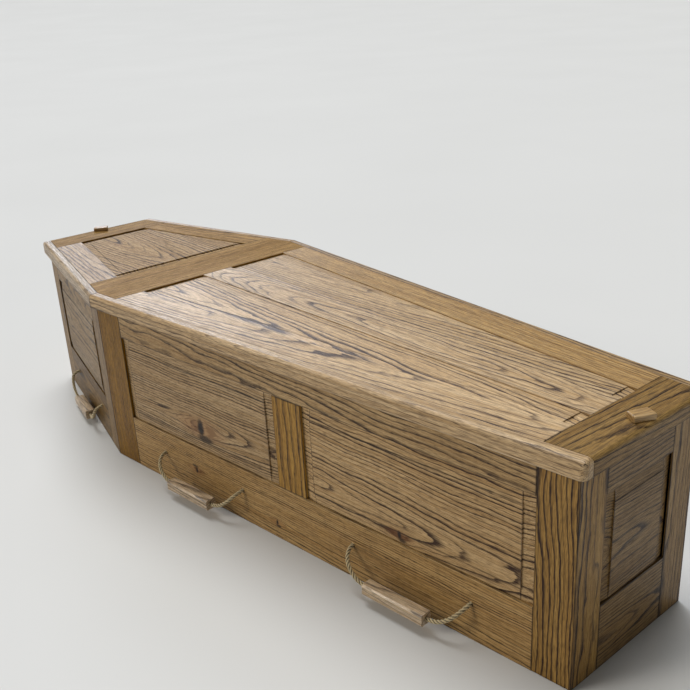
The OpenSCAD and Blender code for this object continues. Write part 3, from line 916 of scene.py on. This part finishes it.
# How each board was sawn and finished. Heart is how deep the tree's heart lies below
# the board's face, Lean and Bow how that changes along the board, Side how far it lies
# to one side, Ring the rings' width and Wander how far they stray. skew is how many
# degrees the grain runs off the board, and a knot is where it is along and across the
# board, and its size.
SAWN = {
    "lid_head_rail": dict(Heart=0.06, Lean=0.02, Side=0.12, Ring=0.006, tone=0.50,
                          warmth=0.45, gloss=0.6, contrast=0.7, shine=0.12),
    "lid_mid_rail": dict(Heart=0.06, Lean=0.02, Side=0.13, Ring=0.006, tone=0.56,
                         warmth=0.45, gloss=0.6, contrast=0.7, shine=0.12),
    "lid_foot_rail": dict(Heart=0.030, Lean=0.05, Side=-0.030, Ring=0.0095, tone=0.44,
                          warmth=0.30, contrast=1.5, Wander=0.006, shine=0.2),
    "lid_head_panel": dict(Heart=0.03, Lean=0.12, Side=-0.03, Ring=0.0110, tone=0.70,
                           warmth=0.05, gloss=0.55, shine=0.15, contrast=1.0),
    "lid_head_stile_near": dict(Heart=0.05, Lean=0.04, Side=0.05, Ring=0.009, skew=3,
                                tone=0.74, warmth=0.05, contrast=1.0, shine=0.25),
    "lid_head_stile_far": dict(Heart=0.05, Lean=0.04, Side=0.05, Ring=0.009, tone=0.62,
                               warmth=0.3, gloss=0.6, shine=0.12, contrast=0.8),
    # The lid's leg panels, muntin, near leg stile and near edge strips are paler and
    # bluer than the walls: painted sheen from the light above.
    "lid_leg_panel_far": dict(Heart=0.030, Lean=0.055, Side=0.015, Ring=0.0095,
                              contrast=1.15, tone=1.0, warmth=-0.18),
    "lid_leg_panel_near": dict(Heart=0.038, Lean=0.050, Side=-0.02, Ring=0.0105,
                               contrast=1.2, Wander=0.011, tone=1.15, warmth=-0.22),
    "lid_muntin": dict(Heart=0.020, Lean=-0.02, Bow=0.07, Side=0.0, Ring=0.0065,
                       Wander=0.014, contrast=1.15, tone=1.10, warmth=-0.26),
    "lid_leg_stile_far": dict(Heart=0.08, Lean=0.02, Side=0.09, Ring=0.005,
                              contrast=0.5, tone=0.80, warmth=0.1, shine=0.2),
    "lid_leg_stile_near": dict(Heart=0.045, Lean=0.05, Side=0.03, Ring=0.0080,
                               tone=1.12, warmth=-0.24),
    "lid_long_edge_near": dict(Heart=0.05, Lean=0.02, Side=0.05, Ring=0.0055,
                               warmth=-0.24, tone=1.04, rubbed=0.25, joint=1.0),
    "lid_short_edge_near": dict(Heart=0.05, Lean=0.02, Side=0.05, Ring=0.005,
                                warmth=-0.50, tone=1.0, rubbed=0.25, joint=1.0),
    "long_top_rail_near": dict(Heart=0.05, Lean=0.03, Side=-0.05, Ring=0.009, skew=-2,
                               contrast=1.25, Wander=0.012, warmth=-0.05),
    # The near bottom rail's top edge gets the full painted highlight, on top of its
    # wear.
    "long_bottom_rail_near": dict(Heart=0.035, Lean=0.02, Side=-0.09, Ring=0.0052,
                                  tone=0.78, contrast=1.1, rubbed=1.0, skew=-0.6,
                                  knots=[(-0.345, 0.0, -0.005), (-0.06, -0.03, 0.004)]),
    "long_shoulder_panel_near": dict(Heart=0.004, Lean=0.06, Side=-0.036, Ring=0.0068,
                                     contrast=1.25, Wander=0.010, warmth=-0.18,
                                     knots=[(0.013, -0.051, 0.013)]),
    "long_foot_panel_near": dict(Heart=0.022, Lean=0.07, Side=-0.065, Ring=0.0090,
                                 contrast=1.4, tone=0.92, warmth=-0.1, skew=-1.0,
                                 Wander=0.014, knots=[(-0.02, -0.092, 0.0055)]),
    "long_muntin_near": dict(Heart=0.07, Lean=0.02, Side=0.10, Ring=0.016, tone=0.58,
                             warmth=0.60, contrast=1.2),
    "long_shoulder_stile_near": dict(Heart=0.08, Lean=0.02, Side=0.12, Ring=0.0052,
                                     tone=0.33, warmth=1.2, contrast=0.9),
    # From here to foot_corner_far, the short side's and the foot end's boards are
    # darker: painted shade on the sides turned from the light.
    "foot_corner_near": dict(Heart=0.06, Lean=0.02, Side=0.09, Ring=0.0062, tone=0.54,
                             warmth=0.42, contrast=1.4),
    "short_shoulder_stile_near": dict(tone=0.42, warmth=0.3),
    "head_corner_near": dict(tone=0.42, warmth=0.5),
    "short_panel_near": dict(tone=0.52, warmth=0.0),
    "short_bottom_rail_near": dict(tone=0.30, warmth=0.6),
    "short_top_rail_near": dict(tone=0.50, warmth=0.1),
    "foot_top_rail": dict(tone=0.44, warmth=0.2),
    "foot_panel": dict(tone=0.44, warmth=0.2),
    "foot_bottom_rail": dict(tone=0.44, warmth=0.2),
    "foot_corner_far": dict(tone=0.55, warmth=0.2),
    "bottom_board": dict(Heart=0.05, Lean=0.05, Ring=0.009, tone=0.6, gloss=0.6),
}


NUMBER_STEP, SALT_STEP, SCATTER = 12.9898, 78.233, 43758.5453


def chance(number, salt):
    """A steady value from 0 to 1 that differs from board to board."""
    return abs(sin(number * NUMBER_STEP + salt * SALT_STEP) * SCATTER) % 1


def board_material(node, number, middle, turn):
    """A board's oak: a plain board's, changed by how that one was sawn, and on some
    boards by a tone that paints shade or sheen.
    """
    plain = dict(
        Heart=0.03 + 0.04 * chance(number, 1),
        Lean=0.08 * (chance(number, 2) - 0.5),
        Side=0.12 * (chance(number, 3) - 0.5),
        Ring=0.0052 + 0.002 * chance(number, 4),
        tone=0.72 + 0.18 * chance(number, 5),
        warmth=0.10 + 0.2 * chance(number, 6),
        contrast=1.15,
    )
    if node.startswith("lid_"):
        plain.update(shine=LID_SHINE, joint=0.4, warmth=0.0)
    sawn = {**plain, **SAWN.get(node, {})}
    return oak(node.replace("_", " ") + " oak", turn, middle, seed=number * 3.7, **sawn)


small = [n for n in NODES if "grip" in n or "peg" in n]
boards = [n for n in NODES if n not in small and "rope" not in n]
for number, node in enumerate(boards):
    turn = board_directions(node)
    piece = eased_board(node, turn)
    stand_in(piece, node, board_material(node, number, box_middle(node), turn))

# ---- Grips and pegs ------------------------------------------------------------


BLOCK_END = 40 * MM
GRIP_EASE, PEG_EASE = 1.4 * MM, 1.1 * MM
BLOCK_RIM = 1.5 * MM


def long_direction(node):
    """The direction in which a small block is longest."""
    points = points_of(node)
    middle = box_middle(node)
    far = [max(points, key=lambda p: (p - middle).dot(axis)) for axis in (X, -X)]
    ends = [[p for p in points if (p - f).length < BLOCK_END] for f in far]
    start, stop = (sum(end, Vector()) / len(end) for end in ends)
    return (start - stop).normalized()


def block_material(node, number, turn):
    """A grip is paler and greyer than the boards, its paleness painted sheen, and a peg
    is as brown as the lid.
    """
    grip = "grip" in node
    return oak(
        node.replace("_", " ") + " oak", turn, box_middle(node),
        # A grip's raised tone is painted sheen.
        tone=1.25 if grip else 0.85, warmth=-0.5 if grip else 0.1, contrast=0.9,
        joint=0.15, gloss=0.30, shine=0.5, seed=40 + number * 2.3,
        Heart=0.03 + 0.02 * chance(number, 7), Lean=0.05, Side=0.02, Ring=0.006,
        Wander=0.003,
    )


for number, node in enumerate(small):
    along = long_direction(node)
    across = UP.cross(along).normalized()
    turn = directions(along, along.cross(across))
    ease = GRIP_EASE if "grip" in node else PEG_EASE
    piece = eased_board(node, turn, ease=ease, rim=BLOCK_RIM, segments=3)
    stand_in(piece, node, block_material(node, number, turn))

# ---- Floor and light -----------------------------------------------------------

FLOOR_FLAT = 9.0
FLOOR_REACH = 60.0
FLOOR_RISE = 5.0
FLOOR_RINGS = 12
FLOOR_SPOKES = 64
FLOOR_DULL = (0.61, 0.605, 0.585, 1)
FLOOR_PALE = (0.65, 0.645, 0.625, 1)
SKY_COLOUR = (0.98, 1.0, 0.99, 1)
SKY_SHINE, SKY_SEEN = 0.12, 0.705

# Where each light comes from, its width in degrees, its strength and its colour.
LIGHTS = {
    "window light": ((-3.5, 1.6, 2.15), 18, 1.05, (0.80, 0.87, 1.0)),
    "front light": ((-1.9, -3.4, 2.2), 20, 1.12, (1.0, 0.96, 0.90)),
    "top light": ((-0.9, 0.4, 3.0), 40, 2.45, (0.97, 0.985, 1.0)),
}


def floor_mesh():
    """A disc that is flat round the coffin and turns slowly up far away."""
    plan = bmesh.new()
    rings = []
    for i in range(FLOOR_RINGS + 1):
        share = i / FLOOR_RINGS
        reach = FLOOR_FLAT + (FLOOR_REACH - FLOOR_FLAT) * share
        ring = []
        for j in range(FLOOR_SPOKES):
            turn = 2 * pi * j / FLOOR_SPOKES
            place = (reach * cos(turn), reach * sin(turn), FLOOR_RISE * share**2)
            ring.append(plan.verts.new(place))
        rings.append(ring)
    plan.faces.new(rings[0])
    for inner, outer in zip(rings, rings[1:]):
        for j in range(FLOOR_SPOKES):
            k = (j + 1) % FLOOR_SPOKES
            plan.faces.new((inner[j], outer[j], outer[k], inner[k]))
    for face in plan.faces:
        face.smooth = True
    mesh = bpy.data.meshes.new("floor")
    plan.to_mesh(mesh)
    plan.free()
    return mesh


def make_floor():
    """A pale, dull floor with the faintest clouds in it."""
    floor = bpy.data.objects.new("floor", floor_mesh())
    bpy.context.scene.collection.objects.link(floor)
    material, net, shader = new_material("pale floor")
    place = net.add("ShaderNodeTexCoord").outputs["Object"]
    cloud = net.noise(place, scale=0.7, detail=3.0)[0]
    net.feed(shader.inputs["Base Color"], net.mix(cloud, FLOOR_DULL, FLOOR_PALE))
    shader.inputs["Roughness"].default_value = 0.9
    shader.inputs["Specular IOR Level"].default_value = 0.1
    floor.data.materials.append(material)


def broad_light(name, place, width, strength, colour):
    """Light that falls evenly everywhere, from a patch of sky this many degrees wide."""
    data = bpy.data.lights.new(name, "SUN")
    data.angle = radians(width)
    data.energy = strength
    data.color = colour
    light = bpy.data.objects.new(name, data)
    light.location = place
    light.rotation_euler = (-Vector(place)).to_track_quat("-Z", "Y").to_euler()
    bpy.context.scene.collection.objects.link(light)


def pale_studio(shine, seen):
    """Plain surroundings: how much light they give, and how bright they look."""
    world = bpy.data.worlds.new("plain studio")
    world.use_nodes = True
    net = Net(world.node_tree)
    sky = world.node_tree.nodes["Background"]
    sky.inputs["Color"].default_value = SKY_COLOUR
    looked_at = net.add("ShaderNodeLightPath").outputs["Is Camera Ray"]
    net.feed(sky.inputs["Strength"], net.spread(looked_at, 0.0, 1.0, shine, seen))
    bpy.context.scene.world = world


make_floor()
for name, facts in LIGHTS.items():
    broad_light(name, *facts)
pale_studio(SKY_SHINE, SKY_SEEN)
bpy.context.scene.view_settings.view_transform = "Standard"
